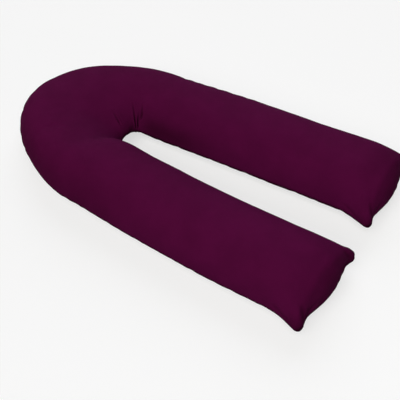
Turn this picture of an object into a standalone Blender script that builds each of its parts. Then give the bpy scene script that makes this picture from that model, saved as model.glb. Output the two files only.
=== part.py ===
"""A U-shaped body pillow lying flat: one stuffed cushion, sewn from an upper and a lower panel.

Metres, +Z up, the underside on z = 0. The arms point to -Y and the head of the U to +Y.
Each panel is a sheet of rows and columns. A row runs across the cushion, from the seam beside
the slot to the outer seam, and the rows follow the U from the end of one arm to the end of the
other. The two panels meet in the seam, a narrow band that runs all round.
"""

import math
from collections import namedtuple

import bmesh
import bpy
from mathutils import Vector

# The filled cushion.
ARM_WIDTH = 0.300
ARM_LENGTH = 0.894  # from the middle of the bend to the end seam
THICKNESS = 0.175  # from the floor to the crown
SEAM_HEIGHT = 0.068  # of the seam along the arms, above the floor
SEAM_BAND = 0.004  # the sewn edge, which keeps the two panels apart
SLOT_HALF_WIDTH = 0.058  # where the arms leave the bend
SLOT_END = 0.038  # how far the slot's closed end reaches into the bend

# The head of the U: how much further out than an arm's width the outer seam lies, as shares of
# its plain radius, at the top of the head, at the shoulders and in a last rise at the very top.
HEAD_REACH = 0.247
SHOULDER_REACH = -0.055
TOP_REACH = 0.065

# The end of an arm: puffed out between two corner ears, and thin at the seam.
END_SLOPE = 0.111  # the stretch over which the cushion fills up from the end seam
END_BULGE = 0.033
END_HEIGHT_SHARE = 0.84  # of SEAM_HEIGHT, where the seam lies at the end
EAR_REACH = 0.034
EAR_SPREAD = 0.167  # of the arm's half width
EAR_RUN = 0.053  # the stretch of arm that an ear shapes
EAR_DROOP = 0.011
EAR_RADIUS = 0.019

# How each arm lies: the side it is on, how far its end is spread away from the slot, its bow
# halfway, how much wider than ARM_WIDTH it is at its end and halfway, as shares, and how far
# its end seam slants.
Arm = namedtuple("Arm", "side spread bow end_width mid_width slant")
ARMS = (
    Arm(side=-1, spread=0.0135, bow=0.014, end_width=-0.041, mid_width=0.005, slant=0.012),
    Arm(side=1, spread=0.053, bow=0.002, end_width=-0.003, mid_width=0.005, slant=0.0),
)
ARM_EASE = 0.06  # the share of an arm over which it turns from the bend into its own line

# Soft folds that fan out from the closed end of the slot: where each starts and ends as turns of
# the bend in degrees, how far it reaches from the slot's seam, its depth and its half width.
Fold = namedtuple("Fold", "foot_turn head_turn reach depth half_width")
FOLDS = (
    Fold(foot_turn=100, head_turn=105, reach=0.045, depth=0.0035, half_width=0.008),
    Fold(foot_turn=162, head_turn=146, reach=0.065, depth=0.0045, half_width=0.009),
    Fold(foot_turn=174, head_turn=163, reach=0.045, depth=0.0030, half_width=0.007),
    Fold(foot_turn=180, head_turn=182, reach=0.038, depth=0.0030, half_width=0.007),
)

# The rounding of a section across the cushion, as powers: a larger one is squarer.
CROWN_FLANK = 2.3
CROWN_TOP = 2.1
BELLY_FLANK = 2.6
BELLY_BASE = 2.2
END_FACE = 2.2
FLOOR_PRESS = 1.06  # over 1, the floor holds the middle of the underside flat

ROWS_PER_ARM = 24
ROW_CROWDING = 1.6  # over 1, an arm's rows lie closer together towards its end
ROWS_IN_BEND = 44
COLUMNS = 18

CLOTH_COLOUR = (0.065, 0.0035, 0.032, 1.0)
CLOTH_ROUGHNESS = 0.85

# A row: its middle, the way across the cushion, its half width, its distance from the end seam
# and the slant of that seam.
Row = namedtuple("Row", "middle across half_width to_end slant")


def arm_row(arm, to_end):
    """The row of an arm at a distance from its end seam."""
    along = 1 - to_end / ARM_LENGTH
    along *= along * (1 + ARM_EASE) / (along + ARM_EASE)
    arch = 4 * along * (1 - along)
    out = SLOT_HALF_WIDTH + ARM_WIDTH / 2 + arm.spread * along + arm.bow * arch
    half_width = ARM_WIDTH / 2 * (1 + arm.end_width * along + arm.mid_width * arch)
    middle = Vector((arm.side * out, to_end - ARM_LENGTH))
    return Row(middle, Vector((arm.side, 0)), half_width, to_end, arm.slant)


def slot_end_point(turn, beyond=0.0):
    """A point of the slot's seam, or beyond it: turn is 0 at the first arm and pi at the second."""
    return Vector(
        (-(SLOT_HALF_WIDTH + beyond) * math.cos(turn), (SLOT_END + beyond) * math.sin(turn))
    )


def bend_row(turn):
    """A row of the bend, which fans out from the slot's closed end to the outer seam."""
    reach = 1 + HEAD_REACH * math.sin(turn) ** 2
    reach += SHOULDER_REACH * math.sin(2 * turn) ** 2 + TOP_REACH * math.sin(turn) ** 6
    inner = slot_end_point(turn)
    outer = Vector((-math.cos(turn), math.sin(turn))) * (SLOT_HALF_WIDTH + ARM_WIDTH) * reach
    across = outer - inner
    return Row((inner + outer) / 2, across.normalized(), across.length / 2, ARM_LENGTH, 0.0)


def all_rows():
    """The rows from the end of the first arm, round the bend, to the end of the second."""
    first, second = ARMS
    distances = [ARM_LENGTH * (n / ROWS_PER_ARM) ** ROW_CROWDING for n in range(ROWS_PER_ARM)]
    rows = [arm_row(first, to_end) for to_end in distances]
    rows += [bend_row(math.pi * n / ROWS_IN_BEND) for n in range(ROWS_IN_BEND + 1)]
    rows += [arm_row(second, to_end) for to_end in reversed(distances)]
    return rows


def round_corner(inset, to_end):
    """Bends the square corner of a panel into an arc, which moves only what lies within it."""
    a = max(1 - inset / EAR_RADIUS, 0.0)
    b = max(1 - to_end / EAR_RADIUS, 0.0)
    if not a or not b:
        return inset, to_end
    return (
        EAR_RADIUS * (1 - a * math.sqrt(1 - b * b / 2)),
        EAR_RADIUS * (1 - b * math.sqrt(1 - a * a / 2)),
    )


def fold_depth(point):
    """How far the folds sink the upper panel at a point seen from above."""
    depth = 0.0
    for fold in FOLDS:
        foot = slot_end_point(math.radians(fold.foot_turn))
        head = slot_end_point(math.radians(fold.head_turn), beyond=fold.reach)
        run = head - foot
        share = min(max((point - foot).dot(run) / run.length_squared, 0.0), 1.0)
        miss = (point - foot - run * share).length
        depth += fold.depth * math.exp(-((miss / fold.half_width) ** 2))
    return depth


def panel_point(row, place, upper):
    """A point of a panel. Place runs from -1 at the slot's seam to 1 at the outer seam."""
    inset, to_end = round_corner((1 - abs(place)) * row.half_width, row.to_end)
    place = math.copysign(1 - inset / row.half_width, place)
    near_end = math.exp(-((to_end / EAR_RUN) ** 2))
    ear = abs(place) ** 8

    spread = 1 + EAR_SPREAD * near_end * place**2
    out = EAR_REACH * ear + END_BULGE * (1 - place**2) - row.slant * place
    flat = row.middle + row.across * place * row.half_width * spread
    flat.y += to_end - row.to_end - out * near_end

    inward = min(to_end / END_SLOPE, 1.0)
    fill = math.sqrt(1 - (1 - inward) ** END_FACE)
    seam = SEAM_HEIGHT * (END_HEIGHT_SHARE + (1 - END_HEIGHT_SHARE) * fill)
    seam -= EAR_DROOP * near_end * ear
    if upper:
        base = seam + SEAM_BAND / 2
        crown = (1 - abs(place) ** CROWN_FLANK) ** (1 / CROWN_TOP)
        height = base + fill * crown * (THICKNESS - base - fold_depth(flat))
    else:
        belly = (1 - abs(place) ** BELLY_FLANK) ** (1 / BELLY_BASE)
        height = max(0.0, (seam - SEAM_BAND / 2) * (1 - FLOOR_PRESS * fill * belly))
    return Vector((flat.x, flat.y, height))


def add_panel(bm, rows, upper):
    """A grid of one panel, with its columns closer together towards the seams."""
    sheet = bmesh.ops.create_grid(bm, x_segments=len(rows) - 1, y_segments=COLUMNS, size=1)
    for vert in sheet["verts"]:
        row = rows[round((vert.co.x + 1) / 2 * (len(rows) - 1))]
        column = round((vert.co.y + 1) / 2 * COLUMNS)
        place = -math.cos(math.pi * column / COLUMNS)
        vert.co = panel_point(row, place, upper)


def cloth_material():
    """Smooth aubergine cloth."""
    material = bpy.data.materials.new("aubergine_cloth")
    material.use_nodes = True
    shader = material.node_tree.nodes["Principled BSDF"]
    shader.inputs["Base Color"].default_value = CLOTH_COLOUR
    shader.inputs["Roughness"].default_value = CLOTH_ROUGHNESS
    shader.inputs["Metallic"].default_value = 0.0
    return material


def build_pillow():
    """Both panels, joined by the seam, with the middle of the footprint over the origin."""
    bm = bmesh.new()
    rows = all_rows()
    add_panel(bm, rows, upper=True)
    add_panel(bm, rows, upper=False)
    bmesh.ops.bridge_loops(bm, edges=[edge for edge in bm.edges if edge.is_boundary])
    bmesh.ops.recalc_face_normals(bm, faces=bm.faces)

    xs = [vert.co.x for vert in bm.verts]
    ys = [vert.co.y for vert in bm.verts]
    to_middle = Vector((-(min(xs) + max(xs)) / 2, -(min(ys) + max(ys)) / 2, 0))
    bmesh.ops.translate(bm, verts=bm.verts, vec=to_middle)

    mesh = bpy.data.meshes.new("pillow")
    bm.to_mesh(mesh)
    bm.free()
    mesh.materials.append(cloth_material())
    mesh.shade_smooth()
    mesh.set_sharp_from_angle(angle=math.radians(60))
    pillow = bpy.data.objects.new("pillow", mesh)
    bpy.context.collection.objects.link(pillow)


for leftover in list(bpy.data.objects):
    bpy.data.objects.remove(leftover, do_unlink=True)
build_pillow()
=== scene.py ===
import math
import random

import bmesh
import bpy
import numpy as np
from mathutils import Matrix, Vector, noise


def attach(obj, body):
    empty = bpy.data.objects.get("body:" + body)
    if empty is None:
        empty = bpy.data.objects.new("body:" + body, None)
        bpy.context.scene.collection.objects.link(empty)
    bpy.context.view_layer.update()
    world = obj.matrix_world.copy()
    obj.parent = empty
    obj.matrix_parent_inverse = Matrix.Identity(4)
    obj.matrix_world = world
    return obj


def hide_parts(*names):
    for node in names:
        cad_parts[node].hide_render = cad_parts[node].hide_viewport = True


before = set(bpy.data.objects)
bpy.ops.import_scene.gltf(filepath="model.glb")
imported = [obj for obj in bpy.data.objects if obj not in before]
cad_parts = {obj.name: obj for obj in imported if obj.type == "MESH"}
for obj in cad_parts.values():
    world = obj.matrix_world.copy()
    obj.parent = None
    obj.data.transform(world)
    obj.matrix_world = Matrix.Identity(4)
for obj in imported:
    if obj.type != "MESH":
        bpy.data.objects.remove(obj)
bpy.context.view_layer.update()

scene = bpy.context.scene

# Metres, +Z up. The arms of the U point to -Y and the head of it to +Y.

studio = {
    "cameraPlace": (-1.35438, -0.99079, 1.68468),
    "cameraTurn": (42.131, 0.966, -56.588),  # degrees
    "lens": 57.77,
    "floorSide": 60.0,
    "floorColour": (0.37, 0.37, 0.372, 1.0),
    "floorGlow": 0.64,  # as the camera sees it, which keeps the shadows on it light
    "floorBounce": 0.0,  # as it lights the pillow
    "roomGlow": 0.92,  # the tone of the backdrop beyond the floor
    "roomLight": 0.02,
    "roomColour": (1.0, 1.0, 1.0, 1.0),
    "lampWidth": 50.0,  # degrees of the sky that each lamp fills
}
# the way from the pillow to each lamp, which is so far off that only this way counts
softLamps = (
    {"from": (-0.64, 0.00, 0.77), "power": 1.97, "colour": (1.02, 1.00, 0.95)},
    {"from": (0.75, 0.43, 0.50), "power": 1.46, "colour": (0.96, 1.00, 1.08)},
)
# a lamp beside the camera, aimed between the arms
nearLamp = {"place": (-1.0, -1.2, 1.7), "aim": (-0.1, -0.3, 0.1), "width": 0.7, "power": 3.8}


def addCamera():
    lens = bpy.data.cameras.new("camera")
    lens.lens = studio["lens"]
    camera = bpy.data.objects.new("camera", lens)
    camera.location = studio["cameraPlace"]
    camera.rotation_euler = [math.radians(turn) for turn in studio["cameraTurn"]]
    scene.collection.objects.link(camera)
    scene.camera = camera


def glowForCamera(tree, socket, glow, bounce):
    # one brightness as it is seen, another as it lights the pillow
    sight = tree.nodes.new("ShaderNodeLightPath")
    choice = tree.nodes.new("ShaderNodeMapRange")
    choice.inputs["To Min"].default_value = bounce
    choice.inputs["To Max"].default_value = glow
    tree.links.new(sight.outputs["Is Camera Ray"], choice.inputs["Value"])
    tree.links.new(choice.outputs["Result"], socket)


def addRoomLight():
    world = bpy.data.worlds.new("room")
    world.use_nodes = True
    background = world.node_tree.nodes["Background"]
    background.inputs["Color"].default_value = studio["roomColour"]
    strength = background.inputs["Strength"]
    glowForCamera(world.node_tree, strength, studio["roomGlow"], studio["roomLight"])
    scene.world = world


def addLamp(shape):
    lamp = bpy.data.lights.new("softLamp", "SUN")
    lamp.energy = shape["power"]
    lamp.color = shape["colour"]
    lamp.angle = math.radians(studio["lampWidth"])
    holder = bpy.data.objects.new("softLamp", lamp)
    holder.rotation_euler = Vector(shape["from"]).to_track_quat("Z", "Y").to_euler()
    scene.collection.objects.link(holder)


def addNearLamp():
    lamp = bpy.data.lights.new("nearLamp", "AREA")
    lamp.shape = "DISK"
    lamp.size = nearLamp["width"]
    lamp.energy = nearLamp["power"]
    holder = bpy.data.objects.new("nearLamp", lamp)
    holder.location = nearLamp["place"]
    away = Vector(nearLamp["place"]) - Vector(nearLamp["aim"])
    holder.rotation_euler = away.to_track_quat("Z", "Y").to_euler()
    scene.collection.objects.link(holder)


def addFloor():
    sheet = bmesh.new()
    bmesh.ops.create_grid(sheet, x_segments=1, y_segments=1, size=studio["floorSide"] / 2)
    mesh = bpy.data.meshes.new("floor")
    sheet.to_mesh(mesh)
    sheet.free()
    paint = bpy.data.materials.new("paleFloor")
    paint.use_nodes = True
    shader = paint.node_tree.nodes["Principled BSDF"]
    shader.inputs["Base Color"].default_value = studio["floorColour"]
    shader.inputs["Roughness"].default_value = 1.0
    shader.inputs["Specular IOR Level"].default_value = 0.0
    shader.inputs["Emission Color"].default_value = (1.0, 1.0, 1.0, 1.0)
    glow = shader.inputs["Emission Strength"]
    glowForCamera(paint.node_tree, glow, studio["floorGlow"], studio["floorBounce"])
    mesh.materials.append(paint)
    floor = bpy.data.objects.new("floor", mesh)
    scene.collection.objects.link(floor)


addCamera()
addRoomLight()
for shape in softLamps:
    addLamp(shape)
addNearLamp()
addFloor()
scene.view_settings.view_transform = "Standard"
print("studio: camera, lamps and floor are in place")

pillow = {
    "armWidth": 0.305,
    "armLength": 0.894,  # from the middle of the bend to the end seam
    "thickness": 0.179,  # before it is stuffed
    "seamHeight": 0.052,
    "seamBand": 0.003,  # the sewn edge between the two panels
    "slotHalfWidth": 0.053,
    "slotEnd": 0.021,  # how far the slot's closed end reaches into the bend
    "slotSquare": 0.80,  # under 1, this end is squarer than an ellipse
    "slotRise": 0.014,  # how much higher the slot's seam lies round this end
    "headReach": 0.247,
    "shoulderReach": -0.055,
    "topReach": 0.065,
    "endSlope": 0.111,  # the stretch over which an arm fills up from its end seam
    "endBulge": 0.036,
    "endHeightShare": 0.92,
    "earReach": 0.027,
    "earSpread": 0.20,
    "earRun": 0.053,
    "earDroop": 0.002,
    "earFrom": 0.68,  # shares of the half width between which the end seam swings out to the ear
    "earFull": 1.02,
    "earRadius": 0.016,
    "armEase": 0.06,
    # how square the upper flanks are, by length along the middle of the U: a lower number is a
    # longer and softer slope
    "slotFlank": (
        (0.35, 2.2), (0.85, 2.7), (0.98, 2.0), (1.15, 2.0),
        (1.50, 2.2), (1.75, 2.4), (2.05, 3.4), (2.40, 3.6),
    ),
    "outerFlank": (
        (0.20, 3.2), (0.50, 2.9), (0.75, 2.3), (1.00, 2.0),
        (1.20, 2.1), (1.45, 2.6), (1.90, 3.2), (2.20, 2.4),
    ),
    # how far the crown leans from the middle towards the outer seam, a share of the half width
    "lean": (
        (0.30, -0.16), (0.80, 0.00), (0.98, 0.30), (1.13, 0.30),
        (1.32, 0.06), (1.60, 0.00), (1.90, 0.08), (2.15, 0.22),
    ),
    "plainFlank": 2.3,  # the flank that the columns are spaced for
    "crownTop": 2.1,
    "baseWidth": 0.50,  # the share of the half width that lies flat on the floor
    "baseInset": 0.070,  # and how far the flat part stays from an end seam
    "baseCurl": 1.4,  # from there up to the seam, a higher number turns up later
    "endFace": 2.5,
    "toMiddle": (-0.0225, 0.2292),  # from the middle of the bend to the middle of the box
    "rowsPerArm": 88,
    "rowsInBend": 106,
    "columns": 42,
    "crowding": 0.78,  # how much closer the rows and columns lie beside a seam
    "crowdingRun": 5.0,
    "samples": 4001,  # of a curve, to measure the cloth along it
    "panelGap": 1.5,  # between the two panels in the flat cloth
}
# how each arm lies: its side, how far its end is spread from the slot, its bow halfway, how much
# wider it is at its end and halfway, as shares, and how far its end seam slants
arms = (
    {
        "side": -1, "spread": 0.0135, "bow": 0.014,
        "endWidth": -0.041, "midWidth": 0.005, "slant": 0.012,
    },
    {
        "side": 1, "spread": 0.053, "bow": 0.002,
        "endWidth": -0.003, "midWidth": 0.005, "slant": 0.0,
    },
)


def smoothStep(share):
    share = np.clip(share, 0, 1)
    return share * share * (3 - 2 * share)


def crowdedSteps(count, bothEnds):
    step = np.arange(count)
    size = 1 - pillow["crowding"] * np.exp(-step / pillow["crowdingRun"])
    if bothEnds:
        size -= pillow["crowding"] * np.exp(-(count - 1 - step) / pillow["crowdingRun"])
    marks = np.concatenate([[0.0], np.cumsum(size)])
    return marks / marks[-1]


def endFill(toEnd):
    inward = np.minimum(toEnd / pillow["endSlope"], 1.0)
    return np.sqrt(1 - (1 - inward) ** pillow["endFace"])


def armDistances():
    # evenly spaced over the cloth, which climbs steeply at the end of an arm
    toEnd = pillow["armLength"] * np.linspace(0, 1, pillow["samples"]) ** 3
    height = endFill(toEnd) * (pillow["thickness"] - pillow["seamHeight"])
    cloth = np.concatenate([[0.0], np.cumsum(np.hypot(np.diff(toEnd), np.diff(height)))])
    marks = crowdedSteps(pillow["rowsPerArm"], False)[:-1]
    return np.interp(marks * cloth[-1], cloth, toEnd)


def armRows(arm, toEnd):
    along = 1 - toEnd / pillow["armLength"]
    along = along * along * (1 + pillow["armEase"]) / (along + pillow["armEase"])
    arch = 4 * along * (1 - along)
    out = pillow["slotHalfWidth"] + pillow["armWidth"] / 2
    out = out + arm["spread"] * along + arm["bow"] * arch
    half = pillow["armWidth"] / 2 * (1 + arm["endWidth"] * along + arm["midWidth"] * arch)
    middle = np.stack([arm["side"] * out, toEnd - pillow["armLength"]], axis=1)
    across = np.tile([float(arm["side"]), 0.0], (len(toEnd), 1))
    return middle, across, half, toEnd, np.full(len(toEnd), arm["slant"]), np.zeros(len(toEnd))


def bendRows():
    turn = np.linspace(0, math.pi, pillow["rowsInBend"] + 1)
    reach = 1 + pillow["headReach"] * np.sin(turn) ** 2
    shoulder = pillow["shoulderReach"] * np.sin(2 * turn) ** 2
    reach += shoulder + pillow["topReach"] * np.sin(turn) ** 6
    into = pillow["slotEnd"] * np.maximum(np.sin(turn), 0) ** pillow["slotSquare"]
    inner = np.stack([-pillow["slotHalfWidth"] * np.cos(turn), into], axis=1)
    outer = np.stack([-np.cos(turn), np.sin(turn)], axis=1)
    outer *= ((pillow["slotHalfWidth"] + pillow["armWidth"]) * reach)[:, None]
    width = np.linalg.norm(outer - inner, axis=1)
    across = (outer - inner) / width[:, None]
    far = np.full(len(turn), pillow["armLength"])
    return (inner + outer) / 2, across, width / 2, far, np.zeros(len(turn)), np.sin(turn) ** 2


def allRows():
    toEnd = armDistances()
    parts = [armRows(arms[0], toEnd), bendRows(), armRows(arms[1], toEnd[::-1])]
    names = ("middle", "across", "half", "toEnd", "slant", "inBend")
    found = {name: np.concatenate(values) for name, values in zip(names, zip(*parts))}
    steps = np.linalg.norm(np.diff(found["middle"], axis=0), axis=1)
    found["lap"] = np.concatenate([[0], np.cumsum(steps)])
    return found


def eased(lap, marks):
    # a value that changes smoothly from mark to mark along the U
    laps, values = zip(*marks)
    spot = np.interp(lap, laps, np.arange(len(laps)))
    return np.interp(np.floor(spot) + smoothStep(spot % 1), np.arange(len(laps)), values)


def crownShare(place, flank):
    # across a full section, as a share of the way from the seam up to the crown
    return (1 - np.abs(place) ** flank) ** (1 / pillow["crownTop"])


def bellyShare(place):
    # the same down to the floor
    side = np.maximum(np.abs(place) - pillow["baseWidth"], 0) / (1 - pillow["baseWidth"])
    return 1 - side ** pillow["baseCurl"]


def columnPlaces(upper):
    # from -1 at the slot's seam to 1 at the outer seam, evenly spaced over the cloth
    place = -np.cos(np.linspace(0, math.pi, pillow["samples"]))
    rise = pillow["thickness"] - pillow["seamHeight"] if upper else pillow["seamHeight"]
    share = crownShare(place, pillow["plainFlank"]) if upper else bellyShare(place)
    steps = np.hypot(np.diff(place) * pillow["armWidth"] / 2, np.diff(share * rise))
    cloth = np.concatenate([[0.0], np.cumsum(steps)])
    marks = crowdedSteps(pillow["columns"], True)
    return np.interp(marks * cloth[-1], cloth, place)


def roundCorner(inset, toEnd):
    radius = pillow["earRadius"]
    a = np.maximum(1 - inset / radius, 0)
    b = np.maximum(1 - toEnd / radius, 0)
    near = (a > 0) & (b > 0)
    roundInset = radius * (1 - a * np.sqrt(np.maximum(1 - b * b / 2, 0)))
    roundEnd = radius * (1 - b * np.sqrt(np.maximum(1 - a * a / 2, 0)))
    return np.where(near, roundInset, inset), np.where(near, roundEnd, toEnd)


def panelShape(rows, upper):
    # the panel as it lies on the filled pillow, one point for each row and column
    place = columnPlaces(upper)[None, :]
    half = rows["half"][:, None]
    toEnd = rows["toEnd"][:, None] + 0 * place
    inset, toEnd = roundCorner((1 - np.abs(place)) * half, toEnd)
    place = np.copysign(1 - inset / half, place)
    nearEnd = np.exp(-((toEnd / pillow["earRun"]) ** 2))
    ear = smoothStep((np.abs(place) - pillow["earFrom"]) / (pillow["earFull"] - pillow["earFrom"]))

    spread = 1 + pillow["earSpread"] * nearEnd * place**2
    out = pillow["earReach"] * ear + pillow["endBulge"] * (1 - place**2)
    out = out - rows["slant"][:, None] * place
    sideways = place * half * spread
    x = rows["middle"][:, :1] + rows["across"][:, :1] * sideways
    y = rows["middle"][:, 1:] + rows["across"][:, 1:] * sideways
    y = y + toEnd - rows["toEnd"][:, None] - out * nearEnd

    fill = endFill(toEnd)
    share = pillow["endHeightShare"]
    seam = pillow["seamHeight"] * (share + (1 - share) * fill)
    seam = seam - pillow["earDroop"] * nearEnd * ear
    seam = seam + pillow["slotRise"] * rows["inBend"][:, None] * smoothStep(-place)
    if upper:
        base = seam + pillow["seamBand"] / 2
        sides = ("slotFlank", "outerFlank")
        flanks = [eased(rows["lap"], pillow[name])[:, None] for name in sides]
        leant = place - eased(rows["lap"], pillow["lean"])[:, None] * (1 - place**2)
        crown = crownShare(leant, np.where(leant < 0, *flanks))
        height = base + fill * crown * (pillow["thickness"] - base)
    else:
        toFlat = np.maximum(1 - toEnd / pillow["baseInset"], 0)
        endShare = 1 - toFlat ** pillow["baseCurl"]
        height = (seam - pillow["seamBand"] / 2) * (1 - endShare * bellyShare(place))
    shift = pillow["toMiddle"]
    return np.stack([x + shift[0], y + shift[1], height], axis=2)


def clothLengths(shapes, axis):
    # lengths over the cloth from the first row or column, for both panels
    steps = np.linalg.norm(np.diff(np.stack(shapes), axis=axis + 1), axis=3)
    start = np.zeros_like(np.take(steps, [0], axis=axis + 1))
    return np.concatenate([start, np.cumsum(steps, axis=axis + 1)], axis=axis + 1)


rows = allRows()
shapes = [panelShape(rows, upper) for upper in (True, False)]
runs = clothLengths(shapes, 0)  # along the U, from the end of the first arm
girths = clothLengths(shapes, 1)  # across it, from the slot's seam


def flatCut():
    # where each point of a panel lay in the flat cloth, which gives the lie of the weave
    middleRun = runs[0][:, pillow["columns"] // 2]
    first = pillow["rowsPerArm"]
    last = len(middleRun) - 1 - first
    middle = rows["middle"].copy()
    middle[:first, 1] = middle[first, 1] - middleRun[first] + middleRun[:first]
    middle[last + 1:, 1] = middle[last, 1] + middleRun[last] - middleRun[last + 1:]
    half = (girths[0][:, -1] + girths[1][:, -1]) / 4
    share = girths / girths[:, :, -1:] * 2 - 1
    return middle[:, None] + rows["across"][:, None] * (share * half[:, None])[..., None]


def sewPanels():
    # two grids sewn edge to edge, each vertex marked with its panel, row and column
    lastRow, lastColumn = (count - 1 for count in shapes[0].shape[:2])
    cut = flatCut()
    work = bmesh.new()
    marks = [work.verts.layers.float.new(name) for name in ("panel", "row", "column")]
    for panel, shape in enumerate(shapes):
        sheet = bmesh.ops.create_grid(work, x_segments=lastRow, y_segments=lastColumn, size=1)
        for vert in sheet["verts"]:
            row = round((vert.co.x + 1) / 2 * lastRow)
            column = round((vert.co.y + 1) / 2 * lastColumn)
            vert.co = shape[row, column]
            for mark, value in zip(marks, (panel, row, column)):
                vert[mark] = value
    bmesh.ops.bridge_loops(work, edges=[edge for edge in work.edges if edge.is_boundary])
    bmesh.ops.recalc_face_normals(work, faces=work.faces)

    weave = work.loops.layers.uv.new("cut")
    for face in work.faces:
        sides = {vert[marks[0]] for vert in face.verts}
        for corner in face.loops:
            panel, row, column = (int(corner.vert[mark]) for mark in marks)
            ofBand = len(sides) > 1
            spot = cut[0 if ofBand else panel, row, column]
            apart = pillow["seamBand" if ofBand else "panelGap"] * panel
            corner[weave].uv = (spot[0] + apart, spot[1])
    mesh = bpy.data.meshes.new("bodyPillow")
    work.to_mesh(mesh)
    work.free()
    mesh.shade_smooth()
    piece = bpy.data.objects.new("bodyPillow", mesh)
    scene.collection.objects.link(piece)
    return piece


def readPoints(mesh):
    flat = np.empty(len(mesh.vertices) * 3, np.float32)
    mesh.vertices.foreach_get("co", flat)
    return flat.reshape(-1, 3).astype(float)


def writePoints(mesh, points):
    mesh.vertices.foreach_set("co", points.astype(np.float32).ravel())
    mesh.update()


def readNormals(mesh):
    flat = np.empty(len(mesh.vertices) * 3, np.float32)
    mesh.vertex_normals.foreach_get("vector", flat)
    return flat.reshape(-1, 3).astype(float)


def readMark(mesh, name):
    values = np.empty(len(mesh.vertices), np.float32)
    mesh.attributes[name].data.foreach_get("value", values)
    return values.astype(float)


def addMark(mesh, name, values):
    mark = mesh.attributes.new(name, "FLOAT", "POINT")
    mark.data.foreach_set("value", values.astype(np.float32))


def between(grid, first, second):
    # a value between the four grid points round it
    a = np.clip(first.astype(int), 0, grid.shape[0] - 2)
    b = np.clip(second.astype(int), 0, grid.shape[1] - 2)
    u = first - a
    v = second - b
    low = grid[a, b] * (1 - v) + grid[a, b + 1] * v
    high = grid[a + 1, b] * (1 - v) + grid[a + 1, b + 1] * v
    return low * (1 - u) + high * u


def ofPanel(upper, grids, first, second):
    return np.where(upper, between(grids[0], first, second), between(grids[1], first, second))


def measure(mesh):
    # each vertex's place on the cloth, and its distances over the cloth from the seams
    upper = readMark(mesh, "panel") < 0.5
    row = readMark(mesh, "row")
    column = readMark(mesh, "column")
    rowEnd = np.full_like(row, len(rows["half"]) - 1)
    columnEnd = np.full_like(column, pillow["columns"])
    run = ofPanel(upper, runs, row, column)
    girth = ofPanel(upper, girths, row, column)
    fullRun = ofPanel(upper, runs, rowEnd, column)
    fullGirth = ofPanel(upper, girths, row, columnEnd)
    return {
        "upper": upper,
        "row": row,
        "column": column,
        "run": run,
        "girth": girth,
        "slot": girth,
        "outer": fullGirth - girth,
        "firstEnd": run,
        "secondEnd": fullRun - run,
    }


bodyPillow = sewPanels()
print("pillow: two panels sewn,", len(bodyPillow.data.polygons), "faces")

# A pucker is a short fold that a seam gathers. Spots are lengths along its seam: along the slot's
# and the outer seam from the first arm's end, and along an end seam from the slot's side.
puckers = {
    "seed": 11,
    "width": (0.007, 0.011),
    "lean": 0.20,
    "slot": {"gap": (0.060, 0.120), "depth": (0.0012, 0.0024), "reach": (0.030, 0.055)},
    "outer": {"gap": (0.050, 0.095), "depth": (0.0014, 0.0026), "reach": (0.035, 0.070)},
    "head": {"gap": (0.042, 0.066), "depth": (0.0026, 0.0046), "reach": (0.070, 0.120)},
    "end": {"gap": (0.036, 0.060), "depth": (0.0016, 0.0028), "reach": (0.035, 0.065)},
    "headStart": 1.40,  # lengths along the outer seam between which the head's cloth is gathered
    "headEnd": 2.50,
    # those that the photograph shows on the outer seam: where, how deep and how far over the cloth
    "seen": (
        (0.840, 0.0030, 0.050), (2.223, 0.0044, 0.145), (2.267, 0.0038, 0.135),
        (2.312, 0.0036, 0.135), (2.367, 0.0048, 0.150), (2.430, 0.0038, 0.135),
        (2.491, 0.0044, 0.145),
    ),
    "seenLean": 0.1,
    "seenWidth": 0.009,
    "seenClear": 0.03,  # the random ones keep this far from those
    "seenStep": 0.02,  # by moving on in steps of this length
    "firstSpot": 0.05,
    "lastSpot": 0.04,  # back from the far end of the seam
    "start": -0.001,  # a fold starts just past the seam
    "widening": 0.6,  # how much wider a fold is at its far end, a share
    "rise": 0.16,  # the share of its length in which a fold sets in
    "fall": 0.75,  # and the share in which it fades out
    "floorClear": 0.01,  # the folds fade out below this height
}


def foldDepth(place, fold):
    # a valley between two low swells, from one spot and distance from its seam to another
    seam = fold["seam"]
    (spot, near), (lastSpot, far) = fold["from"], fold["to"]
    share = (place[seam] - near) / (far - near)
    spots = spot + (lastSpot - spot) * np.clip(share, 0, 1)
    if seam in ("slot", "outer"):
        lengths = runs[0][:, 0 if seam == "slot" else -1]
        mark = np.interp(spots, lengths, np.arange(len(lengths)))
        grids, along, marks = runs, "run", (mark, place["column"])
    else:
        lengths = girths[0][0 if seam == "firstEnd" else -1]
        mark = np.interp(spots, lengths, np.arange(len(lengths)))
        grids, along, marks = girths, "girth", (place["row"], mark)
    line = ofPanel(place["upper"], grids, *marks)
    width = fold["width"] * (1 + puckers["widening"] * np.clip(share, 0, 1))
    x = (place[along] - line) / width
    fade = smoothStep(share / puckers["rise"]) * smoothStep((1 - share) / puckers["fall"])
    return fold["depth"] * (1 - x * x) * np.exp(-x * x / 2) * fade


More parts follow.
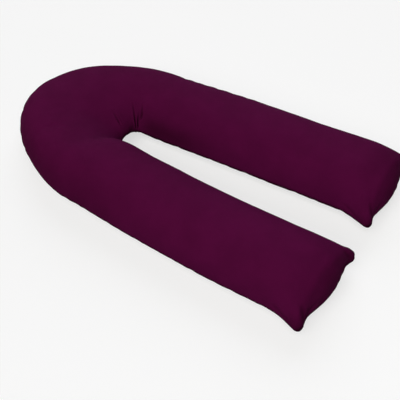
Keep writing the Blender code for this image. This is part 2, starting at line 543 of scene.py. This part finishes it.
def allPuckers():
    # the random ones, and then those that the photograph shows
    dice = random.Random(puckers["seed"])
    found = []
    for seam in ("slot", "outer", "firstEnd", "secondEnd"):
        isEnd = seam.endswith("End")
        length = girths[0][0, -1] if isEnd else runs[0][-1, 0 if seam == "slot" else -1]
        spot = puckers["firstSpot"]
        while spot < length - puckers["lastSpot"]:
            nearest = min(abs(spot - known[0]) for known in puckers["seen"])
            if seam == "outer" and nearest < puckers["seenClear"]:
                spot += puckers["seenStep"]
                continue
            inHead = seam == "outer" and puckers["headStart"] < spot < puckers["headEnd"]
            kind = puckers["end" if isEnd else "head" if inHead else seam]
            reach = dice.uniform(*kind["reach"])
            lean = dice.uniform(-puckers["lean"], puckers["lean"])
            found.append({
                "seam": seam,
                "from": (spot, puckers["start"]),
                "to": (spot + lean * reach, reach),
                "depth": dice.uniform(*kind["depth"]),
                "width": dice.uniform(*puckers["width"]),
            })
            spot += dice.uniform(*kind["gap"])
    for spot, depth, reach in puckers["seen"]:
        found.append({
            "seam": "outer",
            "from": (spot, puckers["start"]),
            "to": (spot + puckers["seenLean"] * reach, reach),
            "depth": depth,
            "width": puckers["seenWidth"],
        })
    return found


def gatherSeams(mesh):
    place = measure(mesh)
    folds = allPuckers()
    sunk = sum(foldDepth(place, fold) for fold in folds)
    points = readPoints(mesh)
    offFloor = np.clip(points[:, 2] / puckers["floorClear"], 0, 1)
    points -= readNormals(mesh) * (sunk * offFloor)[:, None]
    writePoints(mesh, points)
    print("pillow: seams gathered into", len(folds), "puckers")


gatherSeams(bodyPillow.data)

stuffing = {
    "frames": 20,
    "quality": 5,
    "pressure": 4.0,
    "stretch": 60.0,
    "shear": 30.0,
    "bend": 0.5,
    "mass": 0.02,
    "airDrag": 5.0,
    "floorHold": 0.004,  # the cloth below this height lies on the floor and stays there
    "seamHold": 0.9,
    "mostMove": 0.007,  # the cap on how far the filling moves the cloth
}


def stuffPillow(piece):
    mesh = piece.data
    start = readPoints(mesh)
    panel, row, column = (readMark(mesh, name) for name in ("panel", "row", "column"))
    onSeam = (column == 0) | (column == column.max()) | (row == 0) | (row == row.max())
    hold = np.where(panel > 0.5, np.clip(1 - start[:, 2] / stuffing["floorHold"], 0, 1), 0)
    hold = np.where(onSeam, stuffing["seamHold"], hold)
    group = piece.vertex_groups.new(name="hold")
    for vertex in np.flatnonzero(hold > 0):
        group.add([int(vertex)], float(hold[vertex]), "REPLACE")

    cushion = piece.modifiers.new("stuffing", "CLOTH")
    settings = cushion.settings
    settings.quality = stuffing["quality"]
    settings.mass = stuffing["mass"]
    settings.air_damping = stuffing["airDrag"]
    settings.tension_stiffness = stuffing["stretch"]
    settings.compression_stiffness = stuffing["stretch"]
    settings.shear_stiffness = stuffing["shear"]
    settings.bending_stiffness = stuffing["bend"]
    settings.use_pressure = True
    settings.uniform_pressure_force = stuffing["pressure"]
    settings.effector_weights.gravity = 0
    settings.vertex_group_mass = group.name
    cushion.collision_settings.use_collision = False
    cushion.collision_settings.use_self_collision = False
    cushion.point_cache.frame_start = 1
    cushion.point_cache.frame_end = stuffing["frames"]
    for number in range(1, stuffing["frames"] + 1):
        scene.frame_set(number)
    filled = readPoints(piece.evaluated_get(bpy.context.evaluated_depsgraph_get()).data)
    piece.modifiers.remove(cushion)
    piece.vertex_groups.clear()
    scene.frame_set(1)

    move = filled - start
    length = np.maximum(np.linalg.norm(move, axis=1), 1e-9)
    most = stuffing["mostMove"]
    move *= (most * np.tanh(length / most) / length)[:, None]
    points = start + move
    points[:, 2] = np.maximum(points[:, 2], 0)
    writePoints(mesh, points)
    print("pillow: stuffed, moved at most", round(float(length.max()) * 1000), "mm before the cap")


stuffPillow(bodyPillow)


def smoothPillow(piece):
    smooth = piece.modifiers.new("smooth", "SUBSURF")
    smooth.levels = 1
    smooth.render_levels = 1
    smoothed = piece.evaluated_get(bpy.context.evaluated_depsgraph_get())
    mesh = bpy.data.meshes.new_from_object(smoothed)
    piece.modifiers.clear()
    coarse = piece.data
    piece.data = mesh
    bpy.data.meshes.remove(coarse)
    mesh.name = "bodyPillow"
    mesh.shade_smooth()
    print("pillow: smoothed to", len(mesh.polygons), "faces")


smoothPillow(bodyPillow)

# The creases where the slot ends and beside the ears, the ridge of the end faces, the seam's
# groove, the unevenness of the filling, and the painted shade in creases, on the seam and in
# tucks.
relief = {
    # lengths along the slot's seam and from it
    "slotCreases": (
        {"from": (1.001, 0.048), "to": (1.013, 0.120), "depth": 0.0032, "width": 0.0028},
        {"from": (1.053, 0.007), "to": (1.046, 0.137), "depth": 0.0038, "width": 0.0026},
        {"from": (1.060, 0.010), "to": (1.059, 0.108), "depth": 0.0030, "width": 0.0025},
        {"from": (1.069, 0.050), "to": (1.059, 0.124), "depth": 0.0048, "width": 0.0028},
        {"from": (0.953, 0.095), "to": (0.974, 0.150), "depth": 0.0010, "width": 0.0040},
    ),
    # beside each ear, from and to as lengths from the end seam and from the side seam
    "earCreases": (
        {"from": (0.020, 0.028), "to": (0.068, 0.088), "depth": 0.0024, "width": 0.0055},
        {"from": (0.012, 0.040), "to": (0.040, 0.110), "depth": 0.0022, "width": 0.0050},
        {"from": (0.040, 0.010), "to": (0.120, 0.034), "depth": 0.0016, "width": 0.0060},
    ),
    # the ridge round an end face, from ear to ear: lengths from the nearer side and end seams
    "endRidge": (
        (0.000, 0.004), (0.011, 0.013), (0.040, 0.039), (0.080, 0.056),
        (0.121, 0.081), (0.161, 0.101), (0.190, 0.110),
    ),
    "ridgeHeight": 0.0030,
    "ridgeWidth": 0.014,
    "ridgeRise": 0.02,  # from the end seam to where the ridge has its full height
    # painted shade where the cloth is tucked in beside the slot's closed end and round the
    # shoulder:
    # where this sets in and fades along the seam, how far from it it is strongest and how far it
    # reaches
    "tuckShadows": (
        {
            "seam": "slot", "start": (1.05, 1.13), "end": (1.19, 1.44),
            "middle": 0.037, "reach": 0.042, "most": 1.0,
        },
        {
            "seam": "outer", "start": (0.60, 0.84), "end": (1.15, 1.45),
            "middle": 0.048, "reach": 0.060, "most": 0.4,
        },
    ),
    # painted shade round each ear: how far it reaches and how dark it is at most
    "earShadow": {"reach": 0.048, "most": 0.80},
    "grooveDepth": 0.0024,
    "grooveWidth": 0.0052,
    # less painted shade on the seam here: where along the slot, how far it reaches, by what share
    "weakerSeamShade": (0.985, 0.055, 0.8),
    "uneven": 0.0016,  # how far the filling lifts and sinks the cloth
    "unevenSize": 0.11,
    "fineUneven": 0.0004,
    "fineSize": 0.032,
    "floorClear": 0.012,  # the relief fades out below this height
    "fullFold": 0.004,  # the depth at which a crease has its full painted shade
}


def lineDent(first, second, crease):
    # a valley along a line on the cloth, fading at both of its ends
    start = np.array(crease["from"])
    way = np.array(crease["to"]) - start
    length = np.linalg.norm(way)
    along = ((first - start[0]) * way[0] + (second - start[1]) * way[1]) / length**2
    miss = ((first - start[0]) * way[1] - (second - start[1]) * way[0]) / length
    x = miss / crease["width"]
    fade = np.clip(1 - np.abs(2 * along - 1) ** 3, 0, 1)
    return crease["depth"] * (1 - x * x) * np.exp(-x * x / 2) * fade


def shapeRelief(mesh):
    place = measure(mesh)
    folds = sum(foldDepth(place, {"seam": "slot", **crease}) for crease in relief["slotCreases"])
    for end in ("firstEnd", "secondEnd"):
        for side in ("slot", "outer"):
            for crease in relief["earCreases"]:
                folds = folds + lineDent(place[end], place[side], crease)
    toSide = np.minimum(place["slot"], place["outer"])
    toEnd = np.minimum(place["firstEnd"], place["secondEnd"])
    toSeam = np.minimum(toSide, toEnd)
    fromSide, fromEnd = zip(*relief["endRidge"])
    offRidge = (toEnd - np.interp(toSide, fromSide, fromEnd)) / relief["ridgeWidth"]
    ridge = relief["ridgeHeight"] * np.exp(-(offRidge**2))
    ridge = ridge * smoothStep(toEnd / relief["ridgeRise"]) * place["upper"]
    groove = np.exp(-((toSeam / relief["grooveWidth"]) ** 2))
    points = readPoints(mesh)
    swell = np.array([
        relief["uneven"] * noise.noise(point / relief["unevenSize"])
        + relief["fineUneven"] * noise.noise(point / relief["fineSize"])
        for point in map(Vector, points)
    ])
    offFloor = np.clip(points[:, 2] / relief["floorClear"], 0, 1)
    sunk = folds - ridge + relief["grooveDepth"] * groove - swell * (1 - groove)
    points -= readNormals(mesh) * (sunk * offFloor)[:, None]
    points[:, 2] = np.maximum(points[:, 2], 0)
    writePoints(mesh, points)
    # painted shade in the creases: the deeper a crease, the darker its colour
    addMark(mesh, "fold", np.clip(folds / relief["fullFold"], 0, 1))
    spots = {
        "slot": between(runs[0], place["row"], 0 * place["row"]),
        "outer": between(runs[0], place["row"], 0 * place["row"] + pillow["columns"]),
    }
    where, reach, most = relief["weakerSeamShade"]
    weakerShade = np.exp(-(((spots["slot"] - where) / reach) ** 2)) * (place["slot"] < place["outer"])
    # a dark line along the seam: partly the stitched seam, partly painted shade in its groove
    addMark(mesh, "seam", groove * (1 - most * weakerShade))
    # painted shade beside the ears, beside the slot's closed end and round the shoulder
    ear = relief["earShadow"]
    paintedShade = ear["most"] * np.exp(-((toSide**2 + toEnd**2) / ear["reach"] ** 2))
    for tuckShadow in relief["tuckShadows"]:
        spot = spots[tuckShadow["seam"]]
        depth = np.exp(-(((place[tuckShadow["seam"]] - tuckShadow["middle"]) / tuckShadow["reach"]) ** 2))
        risen, gone = (
            smoothStep((spot - start) / (end - start))
            for start, end in (tuckShadow["start"], tuckShadow["end"])
        )
        paintedShade = np.maximum(paintedShade, tuckShadow["most"] * depth * risen * (1 - gone))
    addMark(mesh, "tuckShadow", paintedShade)
    for name in ("panel", "row", "column"):
        mesh.attributes.remove(mesh.attributes[name])
    print("pillow: creases and seam shaped")


shapeRelief(bodyPillow.data)

cloth = {
    "darkTone": (0.0818, 0.0031, 0.0394, 1.0),
    "lightTone": (0.0908, 0.0035, 0.0440, 1.0),
    # the darker tone of the gaps in the weave, and of the painted shade
    "gapAndShadeTone": (0.0270, 0.0008, 0.0105, 1.0),
    # how much of that tone is painted in as shade in a crease, on the seam and where the cloth is
    # tucked in
    "foldShade": 0.64,
    "seamShade": 0.75,
    "tuckShadowShade": 0.64,
    "mottleSize": 0.075,
    "mottleSpan": (0.35, 0.65),  # the noise values at which the tone is darkest and lightest
    "threadPitch": 0.0011,
    "threadWaver": 1.2,
    "threadWaverDetail": 1.0,
    "threadWaverScale": 0.6,
    "threadShade": 0.20,  # of that darker tone in the gaps between threads
    "threadRelief": 0.00012,
    "fuzzSize": 0.0016,
    "fuzzRelief": 0.00010,
    "crumpleSize": 0.016,
    "crumpleRelief": 0.00035,
    "grainRoughness": 0.55,  # of the noise that the looks are made of
    "roughness": (0.88, 0.98),
    "roughnessSpan": (0.3, 0.7),  # the noise values at which the roughness is lowest and highest
    "gloss": 0.03,
    "sheen": 0.02,
    "sheenRoughness": 0.5,
    "sheenTone": (0.5, 0.04, 0.28, 1.0),
}


def clothMaterial():
    material = bpy.data.materials.new("aubergineCloth")
    material.use_nodes = True
    tree = material.node_tree
    shader = tree.nodes["Principled BSDF"]
    shader.inputs["Specular IOR Level"].default_value = cloth["gloss"]
    shader.inputs["Sheen Weight"].default_value = cloth["sheen"]
    shader.inputs["Sheen Roughness"].default_value = cloth["sheenRoughness"]
    shader.inputs["Sheen Tint"].default_value = cloth["sheenTone"]

    def node(kind, settings=(), values=(), links=()):
        made = tree.nodes.new(kind)
        for name, value in settings:
            setattr(made, name, value)
        for name, value in values:
            made.inputs[name].default_value = value
        for name, source in links:
            tree.links.new(source, made.inputs[name])
        return made

    spot = node("ShaderNodeUVMap", [("uv_map", "cut")]).outputs["UV"]
    space = node("ShaderNodeTexCoord").outputs["Object"]

    def feed(socket, source):
        # a socket takes either a link or a plain value
        if isinstance(source, bpy.types.NodeSocket):
            tree.links.new(source, socket)
        else:
            socket.default_value = source

    def threads(direction):
        values = [
            ("Scale", math.pi / 10 / cloth["threadPitch"]),
            ("Distortion", cloth["threadWaver"]),
            ("Detail", cloth["threadWaverDetail"]),
            ("Detail Scale", cloth["threadWaverScale"]),
        ]
        wave = node(
            "ShaderNodeTexWave", [("bands_direction", direction)], values, [("Vector", spot)]
        )
        return wave.outputs["Fac"]

    def grain(source, size, detail):
        return node(
            "ShaderNodeTexNoise",
            values=[
                ("Scale", 1 / size), ("Detail", detail), ("Roughness", cloth["grainRoughness"]),
            ],
            links=[("Vector", source)],
        ).outputs["Fac"]

    def mix(first, second, share):
        # of the sockets of a mix node, these are its share, its two colours and its colour result
        made = node("ShaderNodeMix", [("data_type", "RGBA")])
        for number, source in ((6, first), (7, second), (0, share)):
            feed(made.inputs[number], source)
        return made.outputs[2]

    def combine(operation, first, second):
        made = node("ShaderNodeMath", [("operation", operation)])
        for socket, source in zip(made.inputs, (first, second)):
            feed(socket, source)
        return made.outputs[0]

    def shade(name, most):
        mark = node("ShaderNodeAttribute", [("attribute_name", name)]).outputs["Fac"]
        return combine("MULTIPLY", mark, most)

    def spread(value, low, high, lowest=0.0, highest=1.0):
        marks = [("From Min", low), ("From Max", high), ("To Min", lowest), ("To Max", highest)]
        return node("ShaderNodeMapRange", values=marks, links=[("Value", value)]).outputs["Result"]

    weave = combine("MAXIMUM", threads("X"), threads("Y"))
    gaps = combine("MULTIPLY", combine("SUBTRACT", 1.0, weave), cloth["threadShade"])
    mottle = spread(grain(space, cloth["mottleSize"], 2.0), *cloth["mottleSpan"])
    colour = mix(cloth["darkTone"], cloth["lightTone"], mottle)
    colour = mix(colour, cloth["gapAndShadeTone"], gaps)
    # painted shade: creases, the seam's groove and the tucked-in places take on the darker tone
    for mark in ("fold", "seam", "tuckShadow"):
        colour = mix(colour, cloth["gapAndShadeTone"], shade(mark, cloth[mark + "Shade"]))
    tree.links.new(colour, shader.inputs["Base Color"])
    patches = grain(spot, cloth["crumpleSize"], 2.0)
    dull = spread(patches, *cloth["roughnessSpan"], *cloth["roughness"])
    tree.links.new(dull, shader.inputs["Roughness"])

    normal = None
    for height, rise in (
        (grain(space, cloth["crumpleSize"], 3.0), cloth["crumpleRelief"]),
        (grain(spot, cloth["fuzzSize"], 1.0), cloth["fuzzRelief"]),
        (weave, cloth["threadRelief"]),
    ):
        sizes = [("Distance", rise), ("Strength", 1.0)]
        bump = node("ShaderNodeBump", values=sizes, links=[("Height", height)])
        if normal:
            tree.links.new(normal, bump.inputs["Normal"])
        normal = bump.outputs["Normal"]
    tree.links.new(normal, shader.inputs["Normal"])
    return material


bodyPillow.data.materials.clear()
bodyPillow.data.materials.append(clothMaterial())
print("pillow: dressed in aubergine cloth")

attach(bodyPillow, "root")
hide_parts("pillow")
